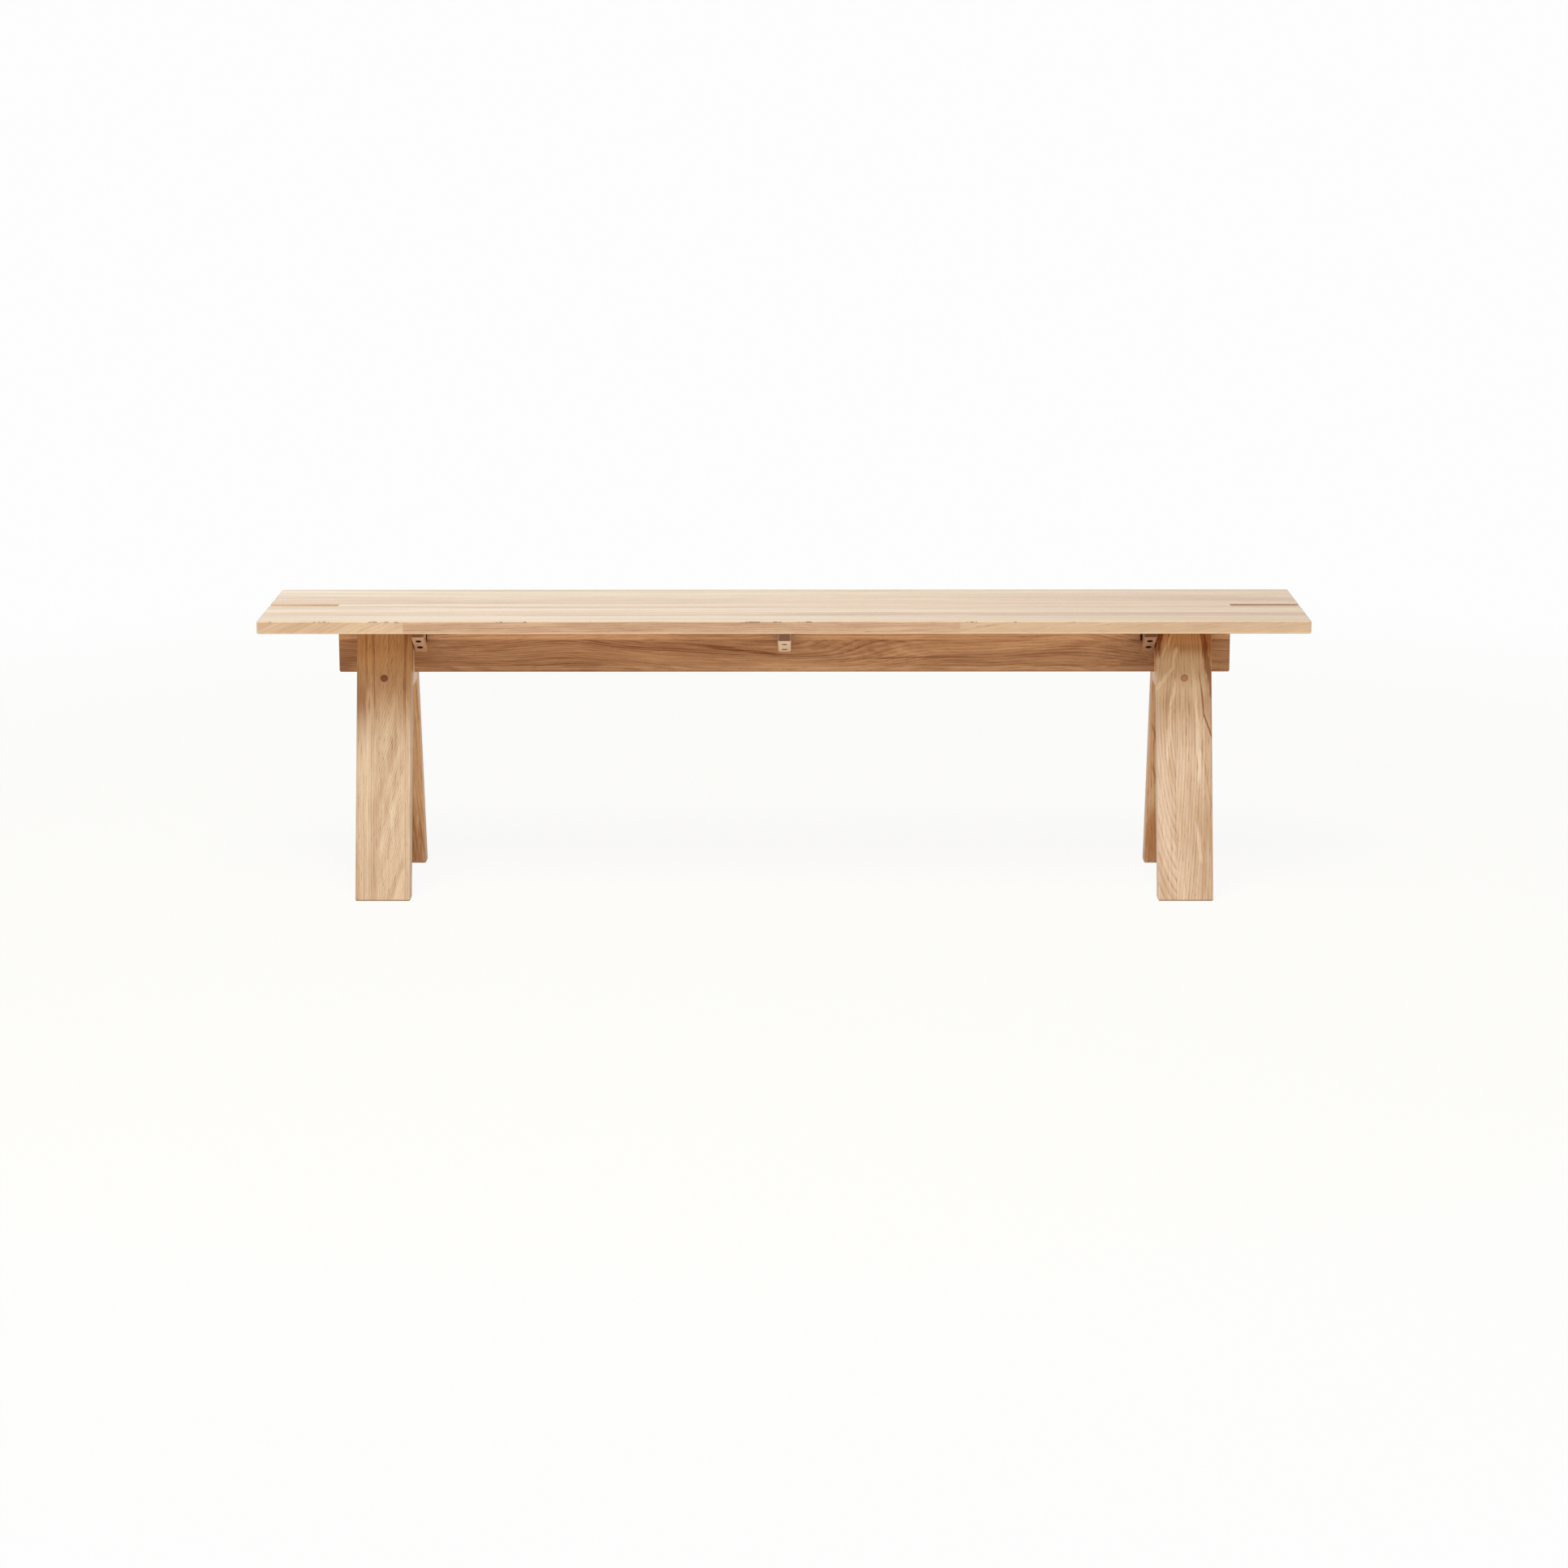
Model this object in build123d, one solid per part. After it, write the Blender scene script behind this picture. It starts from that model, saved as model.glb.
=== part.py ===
from build123d import *
import math
import os

# A long solid-wood bench: a seat of edge-glued staves on a deep centre rail, carried by two
# trestles of splayed plank legs. Three tapered cross battens are halved over the rail and
# screwed up into the seat. Millimetres. The origin is the middle of the footprint on the
# floor, +Z is up, +X runs along the bench and the photographed side faces -Y.

# Overall sizes
seat_length = 1648.0
seat_width = 330.0
seat_height = 450.0
seat_thickness = 20.0

# Seat staves, counted outwards from the centre line; the outermost takes what is left
front_stave_widths = (27.0, 39.0, 35.0)
rear_stave_widths = (27.0, 58.0)
seat_corner_radius = 3.0
seat_top_arris = 1.5
seat_lower_arris = 1.2
slot_arris = 0.8

# Finger joints of the outermost front stave, where they show in the front edge, from its left end
first_end_joint = 229.0
second_end_joint = 1100.0
finger_length = 12.0
finger_tip = 1.2
finger_count = 6

# Centre rail and the lath that fills the seat above it; both stop short of the seat's ends
end_slot_length = 110.5
rail_height = 87.0
rail_thickness = 18.0
rail_lower_arris = 2.0
rail_end_arris = 1.5

# Trestle legs
leg_width = 87.0
leg_thickness = 32.0
leg_setback = 187.5
leg_bearing_reach = 39.0
leg_lean = 15.3
leg_arris = 2.0
foot_arris = 1.5

# Saddle block between each pair of legs
saddle_web = 18.5
saddle_rise = 45.0
saddle_arris = 1.0

# Cross battens and the notches that they cross the rail in
batten_width = 20.5
batten_depth = 54.0
side_batten_reach = 72.0
side_batten_end_depth = 20.5
centre_batten_reach = 120.0
centre_batten_end_depth = 18.7
batten_leg_gap = 1.0
centre_batten_shift = 0.8
batten_arris = 1.5
batten_waist_step = 2.0
batten_waist_reach = 33.0
notch_depth = 36.5
notch_play = 2.0
notch_corner_radius = 2.0
cheek_clearance = 0.2

# How far each notch stands to the left of its batten, as a share of the play
notch_shift_shares = {"left": 0.25, "centre": 0.25, "right": 0.95}

# Batten screws, upright, in counterbores that open on the tapered underside
batten_screw_diameter = 4.0
batten_screw_head = 8.0
batten_screw_head_height = 2.6
batten_screw_grip = 16.0
batten_screw_bite = 13.5
batten_counterbore_play = 1.0
side_screw_shares = (0.31, 0.72)
centre_screw_shares = (0.21, 0.68)

# Leg screws, square to the leg's face, each under a wooden plug
leg_screw_diameter = 5.0
leg_screw_head_play = 0.95
leg_screw_head_height = 3.0
leg_screw_length = 35.0
plug_diameter = 11.4
plug_length = 9.0

# Saddle screws, upright, from below the block into the rail
saddle_screw_diameter = 5.0
saddle_screw_head = 9.5
saddle_screw_head_height = 3.0
saddle_screw_length = 36.0
saddle_screw_spacing = 44.0
saddle_counterbore_depth = 5.0

# Dowels between the leg tops and the seat
dowel_diameter = 10.0
dowel_length = 30.0
dowel_in_seat = 12.0
dowel_spacing = 50.0
end_gap = 0.5

# Shared values; what is hidden inside the wood has flat-sided bores, screws and dowels
hidden_sides = 12
screw_point_length = 4.0
screw_point_taper = 20.0
screw_head_taper = 35.0
hole_clearance = 0.1
overrun = 5.0

# Heights and places worked out from the sizes above
seat_underside = seat_height - seat_thickness
rail_underside = seat_underside - rail_height
half_rail = rail_thickness / 2
rail_length = seat_length - 2 * end_slot_length
notch_floor = seat_underside - notch_depth
batten_waist = batten_width - 2 * batten_waist_step
notch_width = batten_waist + 2 * notch_play
lean_tangent = math.tan(math.radians(leg_lean))
leg_level_thickness = leg_thickness / math.cos(math.radians(leg_lean))
leg_place = seat_length / 2 - leg_setback
batten_place = leg_place - leg_width / 2 - batten_leg_gap - batten_width / 2
saddle_underside = rail_underside - saddle_web
saddle_top = rail_underside + saddle_rise
plug_height = (rail_underside + saddle_underside) / 2 + leg_thickness * math.sin(math.radians(leg_lean))
leg_screw_head = plug_diameter - 2 * leg_screw_head_play
trestle_sides = {"left": -leg_place, "right": leg_place}
leg_rows = {"front": -1, "rear": 1}


def outer_reach(height):
    """How far a leg's outer face stands from the centre plane at a height."""
    return leg_bearing_reach + lean_tangent * (seat_underside - height)


def inner_reach(height):
    """How far a leg's inner face stands from the centre plane at a height."""
    return outer_reach(height) - leg_level_thickness


def block(low, high):
    """An upright rectangular block between two opposite corners."""
    size = [b - a for a, b in zip(low, high)]
    middle = [(a + b) / 2 for a, b in zip(low, high)]
    return Pos(*middle) * Box(*size)


def prism_across(points, length):
    """A prism along X, centred on the YZ plane, from its outline's (Y, Z) corners."""
    outline = make_face(Plane.YZ * Polyline(*points, close=True))
    return extrude(outline, amount=length / 2, both=True)


def peg(base, direction, radius, length):
    """A plain cylinder that starts at a point and runs along a direction."""
    return extrude(Plane(origin=base, z_dir=direction) * Circle(radius), amount=length)


def hidden_peg(base, direction, radius, length, taper=0):
    """A flat-sided pin or bore from a point along a direction, tapering in by an angle."""
    outline = Plane(origin=base, z_dir=direction) * RegularPolygon(radius, hidden_sides)
    return extrude(outline, amount=length, taper=taper)


def screw(seat_point, direction, head, head_height, shank, length):
    """A pan-head wood screw: the head's underside is at seat_point, the shank runs along direction."""
    along = Vector(*direction)
    start = Vector(*seat_point)
    point_start = length - screw_point_length
    head_rim = head_height / 2
    solid = hidden_peg(start, along, shank / 2, point_start)
    point = start + along * point_start
    solid += hidden_peg(point, along, shank / 2, screw_point_length, screw_point_taper)
    solid += hidden_peg(start - along * head_rim, along, head / 2, head_rim)
    return solid + hidden_peg(start - along * head_rim, along * -1, head / 2, head_rim, screw_head_taper)


# Places of the fasteners

def batten_screw_places(centre_x, reach, shares):
    """Where a batten's screws stand, as (x, y), at shares of its free length out from the rail."""
    places = [half_rail + share * (reach - half_rail) for share in shares]
    return [(centre_x, side * place) for place in places for side in (-1, 1)]


def leg_screw_axis(side_x, row):
    """The mouth of a leg's plug hole and the direction that its screw is driven in."""
    mouth = Vector(side_x, row * outer_reach(plug_height), plug_height)
    lean = math.radians(leg_lean)
    return mouth, Vector(0, -row * math.cos(lean), -math.sin(lean))


def dowel_places(side_x, row):
    """The lower ends of the two dowels in a leg's top."""
    bearing_middle = (half_rail + leg_bearing_reach) / 2
    lower_end = seat_underside + dowel_in_seat - dowel_length
    return [(side_x + step * dowel_spacing / 2, row * bearing_middle, lower_end) for step in (-1, 1)]


def saddle_screw_places(side_x):
    """The middles of the two screws under a saddle block, as x."""
    return [side_x + step * saddle_screw_spacing / 2 for step in (-1, 1)]


battens = {
    "left": (-batten_place, side_batten_reach, side_batten_end_depth, side_screw_shares),
    "centre": (centre_batten_shift, centre_batten_reach, centre_batten_end_depth, centre_screw_shares),
    "right": (batten_place, side_batten_reach, side_batten_end_depth, side_screw_shares),
}


# Seat

def seat_bores():
    """Pilot holes for the batten screws and sockets for the leg dowels, cut in any stave they meet."""
    bores = []
    base_z = seat_underside - overrun
    radius = batten_screw_diameter / 2 + hole_clearance
    depth = batten_screw_bite + end_gap
    for centre_x, reach, _, shares in battens.values():
        for x, y in batten_screw_places(centre_x, reach, shares):
            bores.append(hidden_peg((x, y, base_z), (0, 0, 1), radius, depth + overrun))
    radius = dowel_diameter / 2 + hole_clearance
    depth = dowel_in_seat + end_gap
    for side_x in trestle_sides.values():
        for row in leg_rows.values():
            for x, y, _ in dowel_places(side_x, row):
                bores.append(hidden_peg((x, y, base_z), (0, 0, 1), radius, depth + overrun))
    return bores


def seat_blank():
    """The whole seat's outer form with its rounded corners and softened arrises."""
    half_length = seat_length / 2
    half_width = seat_width / 2
    blank = block((-half_length, -half_width, seat_underside), (half_length, half_width, seat_height))
    blank = fillet(blank.edges().filter_by(Axis.Z), seat_corner_radius)
    blank = fillet(blank.faces().sort_by(Axis.Z)[-1].edges(), seat_top_arris)
    return chamfer(blank.faces().sort_by(Axis.Z)[0].edges(), seat_lower_arris)


def stave_spans():
    """Each stave's name with the Y range that it fills."""
    spans = {}
    for name, row, widths in (("front", -1, front_stave_widths), ("rear", 1, rear_stave_widths)):
        inner = half_rail
        edges = list(widths) + [seat_width / 2 - half_rail - sum(widths)]
        for number, width in enumerate(edges, start=1):
            spans[f"seat_stave_{name}_{number}"] = sorted((row * inner, row * (inner + width)))
            inner += width
    return spans


def finger_joint(joint_x, near_y, far_y):
    """The part of a stave to the left of a finger joint, with a row of tapered, blunt fingers."""
    pitch = (far_y - near_y) / finger_count
    low_z = seat_underside - overrun
    high_z = seat_height + overrun
    tip_x = joint_x + finger_length
    half_tip = finger_tip / 2
    points = [(-seat_length / 2 - overrun, near_y), (joint_x, near_y)]
    for number in range(finger_count):
        start = near_y + number * pitch
        middle = start + pitch / 2
        points.append((joint_x, start + half_tip))
        points.append((tip_x, middle - half_tip))
        points.append((tip_x, middle + half_tip))
        points.append((joint_x, start + pitch - half_tip))
    points.append((joint_x, far_y))
    points.append((-seat_length / 2 - overrun, far_y))
    outline = make_face(Plane.XY.offset(low_z) * Polyline(*points, close=True))
    return extrude(outline, amount=high_z - low_z)


def seat_staves():
    """Every stave of the seat, cut from the one blank so that they meet face to face."""
    blank = seat_blank()
    bores = seat_bores()
    half_length = seat_length / 2
    staves = {}
    for name, (near_y, far_y) in stave_spans().items():
        stave = blank & block((-half_length, near_y, seat_underside), (half_length, far_y, seat_height))
        for bore in bores:
            box = bore.bounding_box()
            if box.max.Y > near_y and box.min.Y < far_y:
                stave -= bore
        staves[name] = stave
    return staves


def end_jointed(name, stave, near_y, far_y):
    """Splits the outermost front stave into its three lengths at the finger joints."""
    first = finger_joint(-seat_length / 2 + first_end_joint, near_y, far_y)
    second = finger_joint(-seat_length / 2 + second_end_joint, near_y, far_y)
    return {
        name + "_left": stave & first,
        name + "_middle": (stave & second) - first,
        name + "_right": stave - second,
    }


# Centre rail and lath

def rail_notch(centre_x):
    """The cutter for one notch: open at the top, with the round lower corners of a router cut."""
    high_z = seat_underside + overrun
    cutter = block(
        (centre_x - notch_width / 2, -half_rail - overrun, notch_floor),
        (centre_x + notch_width / 2, half_rail + overrun, high_z),
    )
    lower = cutter.edges().filter_by(Axis.Y).group_by(Axis.Z)[0]
    return fillet(lower, notch_corner_radius)


def centre_rail():
    """The deep plank on edge, notched from above for the three battens."""
    half_length = rail_length / 2
    rail = block((-half_length, -half_rail, rail_underside), (half_length, half_rail, seat_underside))
    rail = chamfer(rail.edges().filter_by(Axis.Z), rail_end_arris)
    rail = chamfer(rail.faces().sort_by(Axis.Z)[0].edges(), rail_lower_arris)
    for place, (centre_x, _, _, _) in battens.items():
        rail -= rail_notch(centre_x - notch_shift_shares[place] * notch_play)
    pilot_radius = saddle_screw_diameter / 2 + hole_clearance
    pilot_depth = saddle_screw_length - (saddle_web - saddle_counterbore_depth) + end_gap
    for side_x in trestle_sides.values():
        for x in saddle_screw_places(side_x):
            base = (x, 0, rail_underside - overrun)
            rail -= hidden_peg(base, (0, 0, 1), pilot_radius, pilot_depth + overrun)
    return rail


def centre_lath():
    """The strip between the seat boards, resting on the rail and flush with the seat."""
    half_length = rail_length / 2
    lath = block((-half_length, -half_rail, seat_underside), (half_length, half_rail, seat_height))
    return fillet(lath.edges().filter_by(Axis.Z), slot_arris)


# Trestles

def leg(side_x, row):
    """One plank leg: level foot and top, an upright seat against the rail, plug hole and dowel holes."""
    points = [
        (row * outer_reach(0), 0),
        (row * outer_reach(seat_underside), seat_underside),
        (row * inner_reach(seat_underside), seat_underside),
        (row * inner_reach(0), 0),
    ]
    plank = prism_across(points, leg_width)
    slope = Axis((0, 0, 0), (0, -row * lean_tangent, 1))
    plank = fillet(plank.edges().filter_by(slope), leg_arris)
    plank = chamfer(plank.faces().sort_by(Axis.Z)[0].edges(), foot_arris)
    plank = Pos(side_x, 0, 0) * plank
    reach = leg_width / 2 + overrun
    plank -= block((side_x - reach, -half_rail, rail_underside), (side_x + reach, half_rail, seat_height))
    mouth, inward = leg_screw_axis(side_x, row)
    radius = plug_diameter / 2 + hole_clearance
    depth = plug_length + leg_screw_head_height
    plank -= peg(mouth - inward * overrun, inward, radius, depth + overrun)
    plank -= hidden_peg(mouth, inward, leg_screw_diameter / 2 + hole_clearance, leg_thickness + overrun)
    for place in dowel_places(side_x, row):
        start = Vector(*place) - Vector(0, 0, end_gap)
        plank -= hidden_peg(start, (0, 0, 1), dowel_diameter / 2 + hole_clearance, dowel_length)
    return plank


def saddle_block(side_x):
    """The wedge-sided block between two legs, grooved from above for the rail."""
    low = inner_reach(saddle_underside)
    high = inner_reach(saddle_top)
    points = [
        (-low, saddle_underside),
        (low, saddle_underside),
        (high, saddle_top),
        (half_rail, saddle_top),
        (half_rail, rail_underside),
        (-half_rail, rail_underside),
        (-half_rail, saddle_top),
        (-high, saddle_top),
    ]
    saddle = prism_across(points, leg_width)
    underside = saddle.faces().sort_by(Axis.Z)[0]
    saddle = chamfer(underside.edges().filter_by(Axis.Y), saddle_arris)
    saddle = Pos(side_x, 0, 0) * saddle
    for row in leg_rows.values():
        mouth, inward = leg_screw_axis(side_x, row)
        depth = plug_length + leg_screw_head_height + leg_screw_length + end_gap
        saddle -= hidden_peg(mouth, inward, leg_screw_diameter / 2 + hole_clearance, depth)
    for x in saddle_screw_places(side_x):
        base = (x, 0, saddle_underside - overrun)
        radius = saddle_screw_head / 2 + hole_clearance
        saddle -= peg(base, (0, 0, 1), radius, saddle_counterbore_depth + overrun)
        radius = saddle_screw_diameter / 2 + hole_clearance
        saddle -= hidden_peg(base, (0, 0, 1), radius, saddle_web + 2 * overrun)
    return saddle


def leg_screw(side_x, row):
    """The screw that draws a leg against its saddle block."""
    mouth, inward = leg_screw_axis(side_x, row)
    seat_point = mouth + inward * (plug_length + leg_screw_head_height)
    return screw(seat_point, inward, leg_screw_head, leg_screw_head_height,
                 leg_screw_diameter, leg_screw_length)


def leg_plug(side_x, row):
    """The wooden plug over a leg screw, flush with the leg's face."""
    mouth, inward = leg_screw_axis(side_x, row)
    return peg(mouth, inward, plug_diameter / 2, plug_length)


def saddle_screws(side_x):
    """The two screws that hold the rail down in its saddle block."""
    seat_z = saddle_underside + saddle_counterbore_depth
    return [
        screw((x, 0, seat_z), (0, 0, 1), saddle_screw_head, saddle_screw_head_height,
              saddle_screw_diameter, saddle_screw_length)
        for x in saddle_screw_places(side_x)
    ]


def leg_dowels(side_x, row):
    """The two dowels between a leg's top and the seat."""
    places = dowel_places(side_x, row)
    return [hidden_peg(place, (0, 0, 1), dowel_diameter / 2, dowel_length) for place in places]


# Cross battens

def cross_batten(centre_x, reach, end_depth, screw_shares):
    """A batten halved over the rail, tapered to both ends, with its sides cut back where it crosses."""
    cheek = half_rail + cheek_clearance
    root = seat_underside - batten_depth
    tip = seat_underside - end_depth
    points = [
        (-reach, seat_underside),
        (reach, seat_underside),
        (reach, tip),
        (cheek, root),
        (cheek, notch_floor),
        (-cheek, notch_floor),
        (-cheek, root),
        (-reach, tip),
    ]
    batten = prism_across(points, batten_width)
    ends = batten.faces().sort_by(Axis.Y)
    sharp = ends[0].edges().filter_by(Axis.Z) + ends[-1].edges().filter_by(Axis.Z)
    for row in leg_rows.values():
        sharp += batten.edges().filter_by(Axis((0, 0, 0), (0, row * (reach - cheek), tip - root)))
    batten = chamfer(sharp, batten_arris)
    for side in (-1, 1):
        inner_x = side * batten_waist / 2
        outer_x = side * (batten_width / 2 + overrun)
        low_x, high_x = sorted((inner_x, outer_x))
        batten -= block(
            (low_x, -batten_waist_reach, notch_floor),
            (high_x, batten_waist_reach, seat_underside + overrun),
        )
    web_edges = batten.edges().filter_by(Axis.Y).filter_by(lambda edge: abs(edge.center().Y) < cheek)
    batten = chamfer(web_edges.group_by(Axis.Z)[0], notch_corner_radius)
    batten = Pos(centre_x, 0, 0) * batten
    head_seat = seat_underside - batten_screw_grip
    for x, y in batten_screw_places(centre_x, reach, screw_shares):
        mouth = (x, y, root - overrun)
        radius = batten_screw_head / 2 + batten_counterbore_play
        batten -= peg(mouth, (0, 0, 1), radius, head_seat - root + overrun)
        radius = batten_screw_diameter / 2 + hole_clearance
        batten -= hidden_peg(mouth, (0, 0, 1), radius, batten_depth + 2 * overrun)
    return batten


def batten_screws(centre_x, reach, screw_shares):
    """The four screws of one batten."""
    head_seat = seat_underside - batten_screw_grip
    return [
        screw((x, y, head_seat), (0, 0, 1), batten_screw_head, batten_screw_head_height,
              batten_screw_diameter, batten_screw_grip + batten_screw_bite)
        for x, y in batten_screw_places(centre_x, reach, screw_shares)
    ]


# Assembly

def all_nodes():
    """Every node by name."""
    nodes = seat_staves()
    jointed = "seat_stave_front_" + str(len(front_stave_widths) + 1)
    near_y, far_y = stave_spans()[jointed]
    nodes.update(end_jointed(jointed, nodes.pop(jointed), near_y, far_y))
    nodes["centre_lath"] = centre_lath()
    nodes["centre_rail"] = centre_rail()
    for side, side_x in trestle_sides.items():
        for row_name, row in leg_rows.items():
            nodes[f"leg_{row_name}_{side}"] = leg(side_x, row)
            nodes[f"leg_plug_{row_name}_{side}"] = leg_plug(side_x, row)
        rows = leg_rows.values()
        nodes[f"leg_screws_{side}"] = Compound([leg_screw(side_x, row) for row in rows])
        dowels = [dowel for row in rows for dowel in leg_dowels(side_x, row)]
        nodes[f"leg_dowels_{side}"] = Compound(dowels)
        nodes[f"saddle_block_{side}"] = saddle_block(side_x)
        nodes[f"saddle_screws_{side}"] = Compound(saddle_screws(side_x))
    for place, (centre_x, reach, end_depth, screw_shares) in battens.items():
        nodes[f"cross_batten_{place}"] = cross_batten(centre_x, reach, end_depth, screw_shares)
        nodes[f"batten_screws_{place}"] = Compound(batten_screws(centre_x, reach, screw_shares))
    return nodes


os.makedirs("parts", exist_ok=True)
for node_name, shape in all_nodes().items():
    export_step(shape, f"parts/{node_name}.step")
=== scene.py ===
import math

import bmesh
import bpy
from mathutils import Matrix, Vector


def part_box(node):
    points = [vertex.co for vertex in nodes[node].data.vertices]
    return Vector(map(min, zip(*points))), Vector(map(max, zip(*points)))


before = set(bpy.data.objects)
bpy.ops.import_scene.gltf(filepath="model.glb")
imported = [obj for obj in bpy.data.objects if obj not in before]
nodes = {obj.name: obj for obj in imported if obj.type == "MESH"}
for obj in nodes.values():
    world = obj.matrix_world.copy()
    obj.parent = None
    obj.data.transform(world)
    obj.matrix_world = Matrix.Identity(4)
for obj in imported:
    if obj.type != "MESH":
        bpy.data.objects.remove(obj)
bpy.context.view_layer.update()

# An oak bench, dressed board by board. Metres, in the frame's own axes: +X runs along the bench,
# its front faces -Y and the floor is at zero height. Boards are cut and marked in millimetres.

MM = 0.001


def srgb(red, green, blue):
    """A linear colour from its three display values, 0 to 255."""
    values = [v / 255 for v in (red, green, blue)]
    return [v / 12.92 if v <= 0.04045 else ((v + 0.055) / 1.055) ** 2.4 for v in values] + [1.0]


# Material nodes

# How far a seed moves a noise on each axis
SEED_SPREAD = (1.0, 7.3, 13.7)


class Value:
    """A number that nodes work out. Sums and products of it add Math nodes."""

    def __init__(self, net, socket):
        self.net = net
        self.socket = socket

    def __add__(self, other):
        return self.net.math("ADD", self, other)

    def __sub__(self, other):
        return self.net.math("SUBTRACT", self, other)

    def __rsub__(self, other):
        return self.net.math("SUBTRACT", other, self)

    def __mul__(self, other):
        return self.net.math("MULTIPLY", self, other)

    def __truediv__(self, other):
        return self.net.math("DIVIDE", self, other)

    def __abs__(self):
        return self.net.math("ABSOLUTE", self)


class Net:
    """The nodes of one material."""

    def __init__(self, name):
        self.material = bpy.data.materials.new(name)
        self.material.use_nodes = True
        self.tree = self.material.node_tree
        self.tree.nodes.clear()

    def node(self, kind, values=(), **settings):
        """Adds a node, with its settings, and values or links for its first inputs."""
        made = self.tree.nodes.new(kind)
        for key, value in settings.items():
            setattr(made, key, value)
        for place, value in enumerate(values):
            self.feed(made.inputs[place], value)
        return made

    def feed(self, socket, value):
        """Links a socket to what a value comes from, or sets the socket to a plain value."""
        if isinstance(value, Value):
            value = value.socket
        if isinstance(value, bpy.types.NodeSocket):
            self.tree.links.new(value, socket)
        else:
            socket.default_value = value

    def math(self, operation, *values):
        """A Math node's result."""
        return Value(self, self.node("ShaderNodeMath", values, operation=operation).outputs[0])

    def vector_math(self, operation, *values):
        """A Vector Math node."""
        return self.node("ShaderNodeVectorMath", values, operation=operation)

    def dot(self, vector, direction):
        """How far a vector reaches along a fixed direction."""
        return Value(self, self.vector_math("DOT_PRODUCT", vector, direction).outputs["Value"])

    def place(self):
        """The point's place on the bench."""
        return self.node("ShaderNodeTexCoord").outputs["Object"]

    def normal(self):
        """The direction that the surface faces."""
        return self.node("ShaderNodeNewGeometry").outputs["Normal"]

    def parts(self, vector):
        """A vector's three values."""
        return [Value(self, part) for part in self.node("ShaderNodeSeparateXYZ", (vector,)).outputs]

    def step(self, value, low, high):
        """A smooth step from 0 at low to 1 at high."""
        values = (value, low, high, 0.0, 1.0)
        made = self.node("ShaderNodeMapRange", values, interpolation_type="SMOOTHSTEP")
        return Value(self, made.outputs[0])

    def inset(self, value, face, low, high):
        """A smooth step from 0 to 1 between two distances in millimetres from a face."""
        return self.step(value, face + low * MM, face + high * MM)

    def window(self, value, low, high, soft):
        """1 from low to high and 0 outside, with soft ends."""
        return self.step(value, low - soft, low + soft) * self.step(value, high + soft, high - soft)

    def squareness(self, facing):
        """1 where a surface looks straight along one of three axes, and less on rounded edges."""
        return self.math("MAXIMUM", facing[0], self.math("MAXIMUM", facing[1], facing[2]))

    def mix(self, factor, first, second, blend="MIX"):
        """A mixed colour."""
        made = self.node("ShaderNodeMix", data_type="RGBA", blend_type=blend, clamp_factor=True)
        self.feed(made.inputs["Factor"], factor)
        colours = [socket for socket in made.inputs if socket.type == "RGBA"]
        self.feed(colours[0], first)
        self.feed(colours[1], second)
        return next(socket for socket in made.outputs if socket.type == "RGBA")

    def noise(self, point, counts, seed, detail=2.0, roughness=0.5):
        """Noise round 0, from -0.5 to 0.5; counts is about how many spots a metre holds on each axis."""
        made = self.node("ShaderNodeTexNoise")
        axes = zip(point, counts, SEED_SPREAD)
        places = [axis * count + seed * spread for axis, count, spread in axes]
        self.feed(made.inputs["Vector"], self.node("ShaderNodeCombineXYZ", places).outputs[0])
        self.feed(made.inputs["Scale"], 1.0)
        self.feed(made.inputs["Detail"], detail)
        self.feed(made.inputs["Roughness"], roughness)
        return Value(self, made.outputs["Fac"]) - 0.5

    def surface(self, colour, roughness, height=None, depth=0.0, **settings):
        """A Principled surface, with a bump of a depth in metres, and the material's output."""
        shader = self.node("ShaderNodeBsdfPrincipled")
        self.feed(shader.inputs["Base Color"], colour)
        self.feed(shader.inputs["Roughness"], roughness)
        for key, value in settings.items():
            self.feed(shader.inputs[key.replace("_", " ")], value)
        if height is not None:
            relief = self.node("ShaderNodeBump")
            self.feed(relief.inputs["Distance"], depth)
            self.feed(relief.inputs["Height"], height)
            self.feed(shader.inputs["Normal"], relief.outputs[0])
        return self.output(shader.outputs[0])

    def output(self, shader):
        """The material, once a shader covers its surface."""
        self.feed(self.node("ShaderNodeOutputMaterial").inputs["Surface"], shader)
        return self.material


# Oak. A board is cut from a log: growth rings stand round a pith line some way off the board,
# so straight, sloping and arched figure all come from where the pith lies and how it tilts.

# Noises that follow the grain: how many spots a metre holds along the grain, across it and into
# it, then a seed, the detail and the roughness
FIBRES = ((11.0, 250.0, 250.0), 11.0, 4.0, 0.68)
PATCHES = ((5.0, 34.0, 34.0), 17.0, 2.0)
ZONES = ((1.3, 9.0, 9.0), 23.0, 1.0)
PORES = ((42.0, 520.0, 520.0), 31.0, 2.0)
FINE_PORES = ((110.0, 2400.0, 2400.0), 37.0, 1.0)
RAGGED = ((25.0, 180.0, 180.0), 41.0, 2.0)
BANDS = ((1.6, 75.0, 75.0), 47.0, 3.0, 0.6)

# The noise of the years: spots to a ring, then to a metre along the board and across it
YEARS = (0.21, 1.1, 3.0)

# How far each noise moves the tone of a board at full strength
FIBRE_SWING = 3.4
PATCH_SWING = 2.2
ZONE_SWING = 1.6
BAND_SWING = 3.0

# How the grain wanders: spots to a metre across it, seeds for both sides, and what brings the
# noise up to the full sway
WANDER_COUNT = 9.0
WANDER_SEEDS = (3.1, 10.8)
WANDER_SWING = 4

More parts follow.
